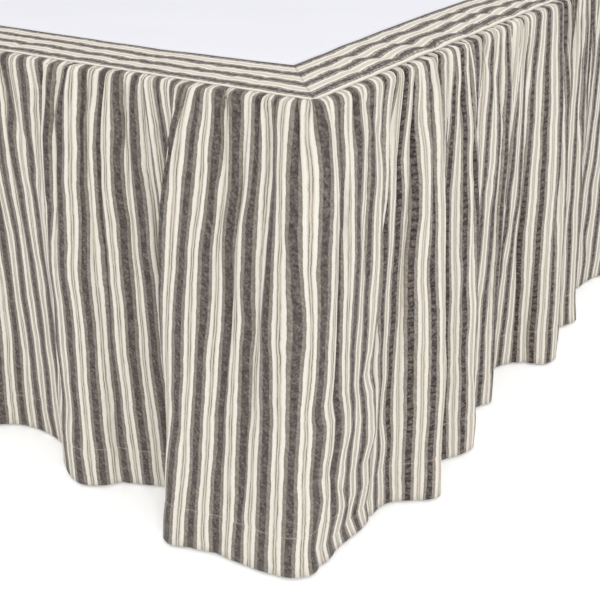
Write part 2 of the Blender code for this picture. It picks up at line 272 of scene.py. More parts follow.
def hanging_surface(cloth, down):
    """Points of the ruffle without its small creases: a row for each step down."""
    rows = smooth(cloth, folds[:, 0], folds[:, 1:])
    seam, outward = seam_line(rows[:, 0])
    shoulder, waist, hem = seam + outward * (SEAM_GAP + SHOULDER), rows[:, 1:3], rows[:, 3:5]
    fine = np.arange(0, DROP + FALL_STEP, FALL_STEP)[:, None, None]
    t, middle = (np.maximum(fine - LIES_FLAT, 0) / (DROP - LIES_FLAT)) ** FULLEST, 0.5**FULLEST
    plan = (shoulder * (t - middle) * (t - 1) / middle
            + waist * t * (t - 1) / (middle * (middle - 1))
            + hem * t * (t - middle) / (1 - middle)
            + outward * (over_box_edge(fine) - SHOULDER))
    clear = over_box_edge(fine)[..., 0] - BOX_LEAN
    plan += outward * np.maximum(clear - out_of_seam(plan), 0)[..., None]
    sideways = (np.diff(plan, axis=0) ** 2).sum(-1)
    fall = np.sqrt(np.maximum(FALL_STEP**2 - sideways, LEAST_FALL**2))
    fallen = np.vstack([np.zeros(len(cloth)), np.cumsum(fall, 0)])
    height = RUFFLE_TOP - (RUFFLE_TOP - HEM_LEVEL) * fallen / fallen[-1]
    solid = np.concatenate([plan, height[..., None]], -1)
    steps = fine[:, 0, 0]
    i = np.clip(np.searchsorted(steps, down) - 1, 0, len(steps) - 2)
    share = ((down - steps[i]) / FALL_STEP)[:, None, None]
    return solid[i] * (1 - share) + solid[i + 1] * share


print("hem at stripe 0:", hanging_surface(np.array([0.0]), np.array([DROP])).round(1).tolist())

# %% [markdown]
# ## Gathers and creases
# The cloth is wider than the seam that it is sewn to. The spare width has to go somewhere, and it
# goes into creases: narrow valleys that swallow a stripe or part of one, with a rounded puff on
# both sides. Short creases stay near the seam, and a few long ones run most of the way down.

# %% Where the creases are
CREASE_COLUMNS = ("kind", "spacing", "depth", "reach", "width", "drift")
CREASE_KINDS = (
    ("gather", 17.0, 5.2, 75.0, 2.4, 0.4),
    ("fold", 46.0, 7.5, 190.0, 4.0, 0.7),
    ("long_fold", 92.0, 9.0, 460.0, 5.5, 0.9),
)
CREASE_SPREADS = {"spacing": (0.5, 1.6), "depth": (0.5, 1.3), "reach": (0.5, 1.5),
                  "width": (0.8, 1.25)}
CREASE_SHARPNESS, DRIFT_OVER = 0.4, 1.6
WIDTHS_AWAY, DRIFTS_AWAY = 5, 1.2
chance = np.random.default_rng(23)


def draw_creases(first, last):
    """One row per crease: its stripe, depth, reach down, width and drift across the stripes."""
    rows = []
    for _, spacing, depth, reach, width, drift in CREASE_KINDS:
        place = first
        while place < last:
            place += spacing / REPEAT * chance.uniform(*CREASE_SPREADS["spacing"])
            sized = [size * chance.uniform(*CREASE_SPREADS[column])
                     for column, size in (("depth", depth), ("reach", reach), ("width", width))]
            rows.append((place, *sized, drift * chance.uniform(-1, 1)))
    return np.array(rows)


def rounded_off(away, radius):
    """Distances that start softly, so that a valley has a round bottom."""
    return np.sqrt(away**2 + radius**2) - radius


def crease_valleys(cloth, down):
    """The valleys of all creases, in millimetres below the puffs, before they are sized."""
    k, v = np.meshgrid(cloth, down)
    height = np.zeros(k.shape)
    for place, depth, reach, width, drift in creases:
        span = WIDTHS_AWAY * width / REPEAT + abs(drift) * DRIFTS_AWAY
        near = np.flatnonzero(np.abs(cloth - place) < span)
        if not len(near):
            continue
        part = np.s_[:, near[0] : near[-1] + 1]
        path = place + drift * np.sin(np.minimum(v[part] / (DRIFT_OVER * reach), 1) * math.pi / 2)
        away = rounded_off(np.abs(k[part] - path) * REPEAT, CREASE_SHARPNESS)
        height[part] -= depth * np.exp(-away / width) * np.exp(-((v[part] / reach) ** 2))
    return height


creases = draw_creases(FIRST, LAST)
print(len(creases), "creases of", len(CREASE_KINDS), "kinds, columns", ", ".join(CREASE_COLUMNS))

# %% [markdown]
# ## Soft unevenness and buckles
# Washed cotton never hangs quite smooth. Random numbers on a lattice, blended softly, give wide
# shallow bumps. Short slanting dents, the buckles, show where the cloth gave way.

# %% Random relief
LATTICE = 97
SOFT_RELIEFS = ((2.2, 2.4, 95.0), (1.0, 1.0, 38.0), (0.45, 0.5, 17.0))
BUCKLE = {"spacing": 11.0, "depth": 1.7, "half_length": 34.0, "width": 5.0, "lean": 0.8}
BUCKLE_SPREADS = {"half_length": (0.5, 1.4), "depth": (0.3, 1.3)}
BUCKLES_BETWEEN = (10.0, DROP - HEM_DEPTH)
BUCKLE_SHARPNESS = 1.0
SEEDS = {"buckles": 90000, "relief": 40, "shift": 60, "sway": 65, "panel": 81}


def soft_noise(across, along, seed):
    """Smooth random relief between -1 and 1, one bump or dent per unit each way."""
    lattice = np.random.default_rng(seed).uniform(-1, 1, (LATTICE, LATTICE))
    x, y = np.broadcast_arrays(across, along)
    i, j = np.floor(x).astype(int), np.floor(y).astype(int)
    u, v = eased(x - i), eased(y - j)
    low, high = (lattice[i % LATTICE, row % LATTICE] * (1 - u)
                 + lattice[(i + 1) % LATTICE, row % LATTICE] * u for row in (j, j + 1))
    return low * (1 - v) + high * v


def buckles(cloth, down):
    """Short slanting dents where the cloth gives way, in millimetres."""
    k, v = np.meshgrid(cloth, down)
    height = np.zeros(k.shape)
    width, lean = BUCKLE["width"], BUCKLE["lean"]
    for place in np.arange(cloth[0], cloth[-1], BUCKLE["spacing"] / REPEAT):
        draw = np.random.default_rng(round(place * 100) + SEEDS["buckles"])
        middle = draw.uniform(*BUCKLES_BETWEEN)
        reach = BUCKLE["half_length"] * draw.uniform(*BUCKLE_SPREADS["half_length"])
        slant = lean * draw.uniform(-1, 1)
        deep = BUCKLE["depth"] * draw.uniform(*BUCKLE_SPREADS["depth"])
        near = np.flatnonzero(np.abs(cloth - place) < (4 * width + 2 * lean * reach) / REPEAT)
        part = np.s_[:, near[0] : near[-1] + 1]
        fall = v[part] - middle
        away = rounded_off(np.abs((k[part] - place) * REPEAT - slant * fall), BUCKLE_SHARPNESS)
        height[part] -= deep * np.exp(-away / width) * np.exp(-((fall / reach) ** 2))
    return height


print("one buckle every", BUCKLE["spacing"], "mm of cloth")

# %% [markdown]
# ## Cloth keeps its length
# A stripe that climbs into a valley looks narrow from outside, because its width goes into depth.
# So each row of the cloth is laid out again: where the valley is steep, little is left sideways,
# and between valleys the stripes keep their full width. The depth of the valleys is grown until
# they swallow just the spare cloth.

# %% Grow the valleys
FINE = 1.2
EVEN_OUT = 45.0
STEEPEST = 0.97
CREASE_ROUNDS = 5
LEAST_SWALLOWED = 0.002
GROWS_AT_MOST = (0.5, 2.0)
VALLEY_SIZES = (0.12, 2.2)


def evened(rows):
    """Each row averaged over about EVEN_OUT millimetres of cloth; the ends keep their values."""
    half = round(EVEN_OUT / FINE / 3)
    for _ in range(3):
        padded = np.pad(rows, ((0, 0), (half + 1, half)), mode="reflect", reflect_type="odd")
        total = np.cumsum(padded, axis=1)
        rows = (total[:, 2 * half + 1 :] - total[:, : -2 * half - 1]) / (2 * half + 1)
    return rows


def sized_valleys(valleys, spare):
    """Valleys grown or shrunk until they swallow the spare share of the cloth."""
    size = np.ones(valleys.shape)
    for _ in range(CREASE_ROUNDS):
        steep = np.clip(np.gradient(size * valleys, FINE, axis=1), -STEEPEST, STEEPEST)
        swallowed = np.maximum(evened(1 - np.sqrt(1 - steep**2)), LEAST_SWALLOWED)
        size = np.clip(size * np.clip(np.sqrt(spare / swallowed), *GROWS_AT_MOST), *VALLEY_SIZES)
    return size * valleys


print("spare cloth is evened out over", EVEN_OUT, "mm")

# %% [markdown]
# ## Relief of the ruffle
# The cloth is gripped flat in the seam, puffs up just below it and hangs more freely further down.
# Rows lie closer where it changes fast: at the seam and at the stitched groove of the hem.

# %% Rows down the cloth
DOWN = np.array([0, 3, 6, 9, 12.5, 16, 20, 25, 30, 36, 43, 51, 60, 70, 81, 93, 106, 120, 134,
                 *range(149, 238, 15), *range(234, 360, 10), 366, 370, 372, 374, 380, 391, 403,
                 DROP], float)
PUFF_RISE, PUFF_LEAST = 9.0, 0.3
PUFF_AT, PUFF_SHARE = (20.0, 110.0), (0.6, 1.0)
FLAT_AT_SEAM, SOFT_FROM = 0.12, 70.0
CALM_FOLD, CALM_WIDTH, CALMED = -7.5, 1.0, 0.85
HEM_GROOVE, GROOVE_HALF = 0.5, 2.0


def ruffle_relief(even, valleys):
    """Height of the puffs and of the soft unevenness between the creases, in millimetres."""
    k, v = np.meshgrid(even, DOWN)
    puffed = np.interp(v, PUFF_AT, PUFF_SHARE) * np.maximum(evened(-valleys), 0)
    height = PUFF_LEAST + valleys + puffed
    height += buckles(even, DOWN)
    for number, (size, across, along) in enumerate(SOFT_RELIEFS):
        bumps = soft_noise(k / across, v / along, SEEDS["relief"] + number)
        height += size * np.clip(v / SOFT_FROM, 0, 1) * bumps
    height *= np.clip(v / PUFF_RISE, FLAT_AT_SEAM, 1)
    height *= 1 - CALMED * np.exp(-(((k - CALM_FOLD) / CALM_WIDTH) ** 4))
    return height - HEM_GROOVE * np.exp(-(((v - DROP + HEM_DEPTH) / GROOVE_HALF) ** 2))


print(len(DOWN), "rows down the cloth, the last at", DOWN[-1], "mm")

# %% [markdown]
# ## Stripes that sway
# Gathers pull on the warp, so stripes leave the seam with a sway that dies out down the cloth.

# %% Sideways shifts of the stripes
WARPS = ((0.17, 1.2, 62.0), (0.09, 0.55, 27.0))
WARP_LASTS, WARP_LEAST = 130.0, 0.22
SWAY = {"size": 0.46, "across": 2.4, "along": 23.0, "middle": 3.6, "half_span": 2.7}
SWAY_FROM = (210.0, 290.0)


def stripe_shift(even):
    """Sideways shift of the stripes, in millimetres: near the seam, and low on a corner fold."""
    k, v = even[None, :], DOWN[:, None]
    shift = sum(size * REPEAT * soft_noise(k / across, v / along, SEEDS["shift"] + number)
                for number, (size, across, along) in enumerate(WARPS))
    shift *= WARP_LEAST + (1 - WARP_LEAST) * np.exp(-v / WARP_LASTS)
    on_fold = np.exp(-(((k - SWAY["middle"]) / SWAY["half_span"]) ** 4))
    sway = SWAY["size"] * REPEAT * on_fold * np.interp(v, SWAY_FROM, (0, 1))
    return shift + sway * soft_noise(k / SWAY["across"], v / SWAY["along"], SEEDS["sway"])


print(f"stripes sway by up to {WARPS[0][0] * REPEAT:.1f} mm near the seam")

# %% [markdown]
# ## The gathered cloth
# Now the rows are laid out again over the valleys, and the relief is added square to the surface.
# At the end every point is kept outside the box, as the real cloth is.

# %% Laying the rows out again
SPARE_BETWEEN, LEAST_SPARE = (0.004, 0.6), 1e-4
HELD_ENDS = 1.5
CREASE_LEAN = 2.0


def read_rows(places, knots, values):
    """Points of each row of `values` read at that row's `places`."""
    return np.stack([[np.interp(at, knot, line) for line in row.T]
                     for at, knot, row in zip(places, knots, values)]).transpose(0, 2, 1)


def ruffle_grid(cloth):
    """The hanging surface with its creases and puffs, kept outside the box spring."""
    even = np.linspace(cloth[0], cloth[-1], round((cloth[-1] - cloth[0]) * REPEAT / FINE) + 1)
    base = hanging_surface(even, DOWN)
    normal = np.cross(np.gradient(base, DOWN, axis=0), np.gradient(base, even, axis=1))
    normal /= np.linalg.norm(normal, axis=-1, keepdims=True)
    sideways = np.linalg.norm(np.gradient(base, even * REPEAT, axis=1), axis=-1)
    rising = np.clip(DOWN / PUFF_RISE, 0, 1)[:, None]
    valleys = crease_valleys(even, DOWN) * rising
    spare = np.clip(evened(1 - sideways), *SPARE_BETWEEN) * rising + LEAST_SPARE
    valleys = sized_valleys(valleys, spare)
    steep = np.clip(np.gradient(valleys, FINE, axis=1), -STEEPEST, STEEPEST)
    ends = np.clip(np.minimum(even - even[0], even[-1] - even) / HELD_ENDS, 0, 1)
    along_base = np.cumsum(sideways, axis=1) * FINE
    outlined = np.cumsum(np.sqrt(1 - steep**2), axis=1) * FINE
    reached = outlined + evened(along_base - outlined) + stripe_shift(even) * ends
    made = read_rows(reached, along_base, base)
    facing = read_rows(reached, along_base, normal)
    made = made + facing * ruffle_relief(even, valleys)[..., None]
    rows = np.broadcast_to(cloth, (len(DOWN), len(cloth)))
    made = read_rows(rows, np.broadcast_to(even, made.shape[:2]), made)
    outward = seam_line(smooth(cloth, folds[:, 0], folds[:, 1:2])[:, 0])[1]
    clear = over_box_edge(DOWN)[:, None] - CREASE_LEAN
    push = np.maximum(clear - out_of_seam(made[..., :2]), 0) * (DOWN > SHOULDER)[:, None]
    made[..., :2] += outward * push[..., None]
    return made


print("rows are laid out every", FINE, "mm of cloth")

# %% [markdown]
# ## Making a sheet
# Each length of cloth is cut flat. A grid of points becomes a mesh with one face per cell, and its
# UV map stores where each point is on the flat cloth in metres, so that a woven pattern keeps its
# true size however the cloth bends. A Solidify modifier gives the cloth its thickness.

# %% Sheet maker
def to_bed(points):
    """Plan millimetres from the seam corner to metres in the frame."""
    return (np.asarray(points, float) + (SEAM_WIDTH / 2, SEAM_FOOT_Y, 0)) * MM


def add_object(name, data):
    made = bpy.data.objects.new(name, data)
    bpy.context.scene.collection.objects.link(made)
    return made


def add_mesh(name, points, faces, stuff):
    """An object from points in metres, faces and one material."""
    mesh = bpy.data.meshes.new(name)
    mesh.from_pydata(points, [], faces)
    mesh.materials.append(stuff)
    return add_object(name, mesh), mesh


def cloth_sheet(name, grid, across, along, stuff):
    """A closed sheet from a grid of points in the frame; across and along are its flat places."""
    down, wide = grid.shape[:2]
    index = np.arange(down * wide).reshape(down, wide)
    faces = np.stack([index[:-1, :-1], index[1:, :-1], index[1:, 1:], index[:-1, 1:]], -1)
    made, mesh = add_mesh(name, grid.reshape(-1, 3).tolist(), faces.reshape(-1, 4).tolist(), stuff)
    flat = np.stack(np.broadcast_arrays(across, along), -1).reshape(-1, 2) * MM
    corner = np.empty(len(mesh.loops), int)
    mesh.loops.foreach_get("vertex_index", corner)
    layer = mesh.uv_layers.new(name="flat_cloth")
    layer.data.foreach_set("uv", flat[corner].astype(np.float32).ravel())
    mesh.polygons.foreach_set("use_smooth", np.ones(len(mesh.polygons), bool))
    solidify = made.modifiers.new("Cloth thickness", "SOLIDIFY")
    solidify.thickness = CLOTH * MM
    solidify.offset = 0.0
    print(f"{name}: {down} x {wide} points")
    return made


# %% [markdown]
# ## Colour and node helpers
# Colours are written as the sRGB hex values that a screen shows, and one function turns them to
# the linear values that a shader works with. One small function adds a node, sets it and links
# it. The kinds of node that are used over and over get a short name with their settings.

# %% Helpers for materials
def linear(hex_colour):
    """An sRGB hex colour as linear RGBA."""
    parts = [int(hex_colour[i : i + 2], 16) / 255 for i in (1, 3, 5)]
    return (*[c / 12.92 if c <= 0.04045 else ((c + 0.055) / 1.055) ** 2.4 for c in parts], 1.0)


def node(tree, kind, settings=None, *shown, **named):
    """Adds a node. Inputs come in the order that the node shows them, or by name with _ for
    spaces. A node that is given as an input stands for the first of its outputs in use."""
    made = tree.nodes.new(kind)
    for key, value in (settings or {}).items():
        setattr(made, key, value)
    in_use = [socket for socket in made.inputs if socket.enabled]
    given = [*zip(in_use, shown)]
    given += [(made.inputs[key.replace("_", " ")], value) for key, value in named.items()]
    for socket, value in given:
        if isinstance(value, bpy.types.Node):
            value = next(output for output in value.outputs if output.enabled)
        if isinstance(value, bpy.types.NodeSocket):
            tree.links.new(value, socket)
        else:
            socket.default_value = value
    return made


OPERATIONS = ("ABSOLUTE", "ADD", "DIVIDE", "FRACT", "MAXIMUM", "MULTIPLY", "MULTIPLY_ADD", "SINE",
              "SUBTRACT")
(ABSOLUTE, ADD, DIVIDE, FRACT, MAXIMUM, MULTIPLY, MULTIPLY_ADD, SINE, SUBTRACT) = (
    ("ShaderNodeMath", {"operation": operation}) for operation in OPERATIONS)
RANGE = ("ShaderNodeMapRange", {"clamp": True})
MIX, MIX_COLOURS = (("ShaderNodeMix", {"data_type": kind}) for kind in ("FLOAT", "RGBA"))
STRETCH = ("ShaderNodeVectorMath", {"operation": "MULTIPLY"})


def new_material(name, roughness, **more):
    """A material with its shader, ready for nodes; sheen and the like stay on the shader."""
    made = bpy.data.materials.new(name)
    made.use_nodes = True
    shader = made.node_tree.nodes["Principled BSDF"]
    shader.inputs["Roughness"].default_value = roughness
    shader.inputs["IOR"].default_value = 1.5
    for key, value in more.items():
        shader.inputs[key.replace("_", " ")].default_value = value
    return made, made.node_tree, shader


def finish_material(tree, shader, colour, bump):
    """The last links of every finish: its mixed colour and its fine relief go to the shader."""
    tree.links.new(colour.outputs[2], shader.inputs["Base Color"])
    tree.links.new(bump.outputs["Normal"], shader.inputs["Normal"])


print("cream in linear light:", [round(c, 3) for c in linear("#F4EFE4")])

# %% [markdown]
# ## Woven ticking stripe
# The real cloth is yarn-dyed cotton in a plain weave. Its stripes run along the warp: a wide dark
# stripe with a paler edge on both sides, then cream, a pair of single dark threads and cream
# again, every 23 mm. The stripe is a colour ramp read across the flat cloth, which keeps it exact
# however the cloth bends. Cotton scatters light, so it is rough with a trace of sheen.

# %% The stripe and its yarns
STRIPE_COLUMNS = ("ends_at_mm", "yarn")
STRIPES = (
    (3.0, "dark"), (6.2, "grey"), (9.1, "cream"), (10.0, "beige"), (10.9, "thread"),
    (12.1, "beige"), (13.0, "thread"), (13.9, "beige"), (16.8, "cream"), (20.0, "grey"),
    (23.0, "dark"),
)
YARN = {"dark": "#5C534F", "grey": "#80786F", "cream": "#E9E3D8", "beige": "#D6CEC0",
        "thread": "#72675D"}
YARN_BLEED = 0.4


def stripe_ramp(tree, place):
    """A colour ramp of one repeat; each boundary is blurred by the width of a yarn."""
    ramp = node(tree, "ShaderNodeValToRGB", None, place)
    stops = []
    for (end, before), (_, after) in zip(STRIPES[:-1], STRIPES[1:]):
        stops += [(end - YARN_BLEED / 2, before), (end + YARN_BLEED / 2, after)]
    ends = ramp.color_ramp.elements
    ends[0].position, ends[1].position = 0.0, 1.0
    ends[0].color = ends[1].color = linear(YARN["dark"])
    for at, yarn in stops:
        ends.new(at / REPEAT).color = linear(YARN[yarn])
    return ramp


print(len(STRIPES), "bands in", REPEAT, "mm, columns", ", ".join(STRIPE_COLUMNS))

# %% [markdown]
# ## Grains of the cloth
# No yarn is even, and each kind of unevenness has its own size. A table gives the noises by the
# size of one grain across and along the warp, in real millimetres. The lean, in radians, tilts a
# grain against the warp. Threads are about 0.5 mm apart, which is too fine to show, so the flecks
# are drawn 1.7 mm wide.

# %% Table of grains
GRAIN_COLUMNS = ("name", "across_mm", "along_mm", "detail", "lean")
GRAINS = (
    ("slow_wander", 9.0, 16.0, 2.0, 0.0),
    ("ragged_edge", 3.0, 3.4, 2.0, 0.0),
    ("sunk_thread", 1.8, 34.0, 2.0, 0.0),
    ("fleck", 1.7, 2.3, 2.0, 0.4),
    ("border_fleck", 2.3, 4.6, 2.0, 0.5),
    ("weft", 2.2, 6.5, 2.0, -0.7),
    ("dye_patch", 4.0, 9.0, 2.0, -0.5),
    ("rib", 1.3, 60.0, 2.0, 0.0),
    ("ladder_drift", 34.0, 52.0, 2.0, 0.0),
    ("ladder_gap", 16.0, 14.0, 2.0, 0.0),
    ("slanting_pucker", 9.0, 3.2, 1.0, -0.45),
    ("crinkle", 12.0, 16.0, 3.0, 0.5),
)


def cloth_grains(add, flat):
    """Each noise of the table by its name, read on the flat cloth."""
    made = {}
    for name, across, along, detail, lean in GRAINS:
        sized = add("ShaderNodeMapping", {"vector_type": "TEXTURE"}, Vector=flat,
                    Rotation=(0.0, 0.0, lean), Scale=(across * MM, along * MM, 1.0))
        made[name] = add("ShaderNodeTexNoise", Vector=sized, Scale=1.0, Detail=detail)
    return made


print(len(GRAINS), "grains, columns", ", ".join(GRAIN_COLUMNS))

# %% [markdown]
# ## Where the stripe lies
# Yarns don't lie dead straight: the stripe edges wander slowly by a fraction of a millimetre, and
# the weft crosses them unevenly, which leaves the edges a little ragged. From its place in the
# repeat each point gets its share of the dark stripe, of the stripe's core and of the pale band
# with the two threads. The four numbers of a range say which values are read as which shares.

# %% Shares of the stripe
SLOW_WANDER, RAGGED_EDGE = 1.7, 0.8
SHARES = {"dark": (0.235, 0.265, 0.0, 1.0), "core": (0.367, 0.392, 0.0, 1.0),
          "threads": (0.075, 0.085, 1.0, 0.0)}


def stripe_shares(add, grain, across):
    """The place in the repeat from 0 to 1, and the shares that follow from it."""
    wander = add(*MULTIPLY_ADD, grain["slow_wander"], SLOW_WANDER * MM, across)
    wander = add(*MULTIPLY_ADD, grain["ragged_edge"], RAGGED_EDGE * MM, wander)
    place = add(*FRACT, add(*DIVIDE, wander, REPEAT * MM))
    off_centre = add(*ABSOLUTE, add(*SUBTRACT, place, 0.5))
    return place, {name: add(*RANGE, off_centre, *read) for name, read in SHARES.items()}


print("dark from", SHARES["dark"][0], "of a repeat off the middle of the cream")

# %% [markdown]
# ## Threads that sink
# The place across the flat cloth tells the sides of the bed from the foot, and the border is laid
# out further along the flat cloth than the ruffle, so that the same material knows it. Painted
# light makes the cloth paler on the sides and the border, and the border is more flecked. The two
# fine dark threads sink into the weave here and there, so they look broken, and on the sides and
# the border they nearly vanish.

# %% Colour of the yarns
BORDER_PLACE = 1650.0
# Where across the flat cloth the sides begin; painted light, puckers and sunk threads follow it.
ON_SIDES = (2 * REPEAT * MM, 5 * REPEAT * MM, 0.3, 1.0)
ON_BORDER = (0.3 * BORDER_PLACE * MM, 0.35 * BORDER_PLACE * MM, 0.0, 1.0)
SUNK_THREAD = (0.42, 0.62, 0.05, 0.6)
SUNK_BY_PULL, PULL_BEFORE_SINKING, SUNK_ON_BORDER = 0.7, -0.25, 0.85


def yarn_colour(add, tree, grain, place, share, pull, laid):
    """The stripe's colours, with beige over the threads where they sink."""
    here_and_there = add(*RANGE, grain["sunk_thread"], *SUNK_THREAD)
    by_pull = add(*MULTIPLY_ADD, pull, SUNK_BY_PULL, PULL_BEFORE_SINKING)
    sunk = add(*MAXIMUM, here_and_there, by_pull)
    sunk = add(*MAXIMUM, sunk, add(*MULTIPLY, laid, SUNK_ON_BORDER))
    return add(*MIX_COLOURS, add(*MULTIPLY, sunk, share["threads"]), stripe_ramp(tree, place),
               linear(YARN["beige"]))


print("threads sink by up to", SUNK_THREAD[3], "on the foot")

# %% [markdown]
# ## Heathered dark yarns
# Dark warp crossed by pale weft looks heathered. Fine flecks lie over soft dark patches of 4 to
# 9 mm, where the yarn took more dye. The cream stripes only show a faint rib. Each range turns a
# noise into a factor for the colour, above 1 where the cloth is lighter.

# %% Tone of the yarns
EDGE_FLECK, CORE_FLECK = (0.36, 0.64, 0.86, 1.16), (0.36, 0.64, 0.62, 1.46)
BORDER_FLECK = (0.38, 0.62, 0.55, 1.6)
WEFT, DYE_PATCH = (0.36, 0.64, 0.82, 1.2), (0.4, 0.6, 0.68, 1.26)
CREAM_RIB = (0.35, 0.65, 0.955, 1.01)


def heathered(add, grain, share, laid):
    """Heather of the dark stripe, rib of the cream one, and the tone of both together."""
    fleck = add(*MIX, share["core"], add(*RANGE, grain["fleck"], *EDGE_FLECK),
                add(*RANGE, grain["fleck"], *CORE_FLECK))
    fleck = add(*MIX, laid, fleck, add(*RANGE, grain["border_fleck"], *BORDER_FLECK))
    weft = add(*RANGE, grain["weft"], *WEFT)
    patch = add(*MIX, share["core"], 1.0, add(*RANGE, grain["dye_patch"], *DYE_PATCH))
    heather = add(*MULTIPLY, add(*MULTIPLY, fleck, weft), patch)
    rib = add(*RANGE, grain["rib"], *CREAM_RIB)
    return heather, rib, add(*MIX, share["dark"], rib, heather)


print("flecks in the core run from", CORE_FLECK[2], "to", CORE_FLECK[3], "of the yarn's colour")

# %% [markdown]
# ## Puckers
# The tighter yarns draw the core of the dark stripe in, and small folds lie across it like the
# rungs of a ladder, with some that slant. They are strongest along the sides of the bed. The shade
# in these folds is painted shade, darkened into the colour.

# %% Puckers across the core
PUCKER_STEP = 7.5
LADDER_DRIFT = 2.2
RUNG, LADDER_GAP, SLANTING = (0.45, 0.9, 0.0, 1.0), (0.38, 0.52, 0.25, 1.0), (0.57, 0.63, 0.0, 1.0)


def puckers(add, grain, along, core_on_sides):
    """How deep in a pucker each point of the core is, from 0 to 1."""
    steps = add(*MULTIPLY_ADD, grain["ladder_drift"], LADDER_DRIFT,
                add(*DIVIDE, along, PUCKER_STEP * MM))
    rung = add(*SINE, add(*MULTIPLY, steps, 2 * math.pi))
    level = add(*MULTIPLY, add(*RANGE, rung, *RUNG), add(*RANGE, grain["ladder_gap"], *LADDER_GAP))
    slanting = add(*RANGE, grain["slanting_pucker"], *SLANTING)
    return add(*MULTIPLY, add(*MAXIMUM, level, slanting), core_on_sides)


print("a rung every", PUCKER_STEP, "mm")

# %% [markdown]
# ## The finished ticking
# Painted shade darkens the tone in the puckers, and painted light makes it lighter on the sides and
# the border, most on the pale edges of the dark stripe. The puckers and flecks also go to a fine
# bump, over a wider one for the crinkled hand of washed cotton. One row of cream stitches holds
# the hem.

# %% Ticking material
# Painted light: how much lighter the tone is painted on the sides and the border.
PAINTED_LIGHT = {"side_edge": 0.38, "side_core": 0.12, "border_edge": 0.3, "border": 0.07}
PUCKER_SHADE = -0.72
STITCHES = (0.0002, 0.0008, 0.24, 0.0)


def make_ticking(name):
    made, tree, shader = new_material(name, 0.88, Sheen_Weight=0.1, Sheen_Roughness=0.5)
    add = functools.partial(node, tree)
    flat = add("ShaderNodeUVMap", {"uv_map": "flat_cloth"})
    across, along = add("ShaderNodeSeparateXYZ", None, flat).outputs[:2]
    grain = cloth_grains(add, flat)
    place, share = stripe_shares(add, grain, across)
    pull, laid = add(*RANGE, across, *ON_SIDES), add(*RANGE, along, *ON_BORDER)
    colour = yarn_colour(add, tree, grain, place, share, pull, laid)
    heather, rib, tone = heathered(add, grain, share, laid)
    core_on_sides = add(*MULTIPLY, share["core"], pull)
    pucker = puckers(add, grain, along, core_on_sides)

    edge = add(*SUBTRACT, share["dark"], share["core"])
    # Painted light: the tone is painted lighter on the sides and the border.
    lit = 1.0
    for where, amount in (("side_core", core_on_sides), ("side_edge", add(*MULTIPLY, edge, pull)),
                          ("border_edge", add(*MULTIPLY, edge, laid)), ("border", laid)):
        lit = add(*MULTIPLY_ADD, amount, PAINTED_LIGHT[where], lit)
    # Painted shade: the tone is painted darker in the puckers.
    shade = add(*MULTIPLY_ADD, pucker, PUCKER_SHADE, 1.0)
    tone = add(*MULTIPLY, add(*MULTIPLY, tone, lit), shade)
    shaded = add("ShaderNodeVectorMath", {"operation": "SCALE"}, colour, tone)

    from_hem = add(*ABSOLUTE, add(*SUBTRACT, along, (DROP - HEM_DEPTH) * MM))
    sewn = add(*MIX_COLOURS, add(*RANGE, from_hem, *STITCHES), shaded, linear("#E2DACB"))
    ridge = add(*MULTIPLY_ADD, pucker, -1.0, add(*MULTIPLY, heather, share["dark"]))
    crinkle = add("ShaderNodeBump", Strength=0.8, Distance=0.004, Height=grain["crinkle"])
    bump = add("ShaderNodeBump", Strength=0.5, Distance=0.0008, Height=add(*ADD, ridge, rib),
               Normal=crinkle)
    finish_material(tree, shader, sewn, bump)
    return made


ticking = make_ticking("ticking_cotton_woven")
print("ticking:", len(ticking.node_tree.nodes), "nodes")

# %% [markdown]
# ## The ruffle
# Three lengths of ticking are gathered onto the seam. Their joins hide inside folds.

# %% Hang the ruffle
DENSE, SPARSE = 1.8, 5.0
DENSE_FROM, DENSE_TO = -40.0, 40.0


def ruffle_columns(first, last):
    """Cloth places of the columns, closer together on the corner that is seen most closely."""
    edges = sorted({first, last, *(e for e in (DENSE_FROM, DENSE_TO) if first < e < last)})
    runs = []
    for a, b in zip(edges[:-1], edges[1:]):
        spacing = DENSE if DENSE_FROM <= a and b <= DENSE_TO else SPARSE
        runs.append(np.linspace(a, b, max(2, round((b - a) * REPEAT / spacing)), endpoint=False))
    return np.concatenate([*runs, [last]])


near = np.argmin(np.abs(folds[:, 1] + FOOT_RUN - JOIN_FROM_CORNER))
left_join = folds[near : near + 2, 0].mean()
half_gap = JOIN_GAP / 2 / REPEAT
LENGTHS = (("ruffle_left", FIRST, left_join - half_gap),
           ("ruffle_foot", left_join + half_gap, RIGHT_JOIN - half_gap),
           ("ruffle_right", RIGHT_JOIN + half_gap, LAST))
for cad_node, first, last in LENGTHS:
    cloth = ruffle_columns(first, last)
    length = cloth_sheet(cad_node + "_cloth", to_bed(ruffle_grid(cloth)), cloth * REPEAT,
                         DOWN[:, None], ticking)
    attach(length, "root")
    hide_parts(cad_node)

# %% [markdown]
# ## The border
# A strip of the same ticking runs along each edge of the top, with its stripes along the edge. It
# is cut straight but sewn to a gathered seam, so it is drawn up into waves: rounded ridges with
# sharper dips between them, all running across the strip. The foot strip lies flatter. The three
# strips meet in mitres at the foot corners. Where they meet the deck the edge is turned under by
# eye, so a half stripe of uneven width shows there.

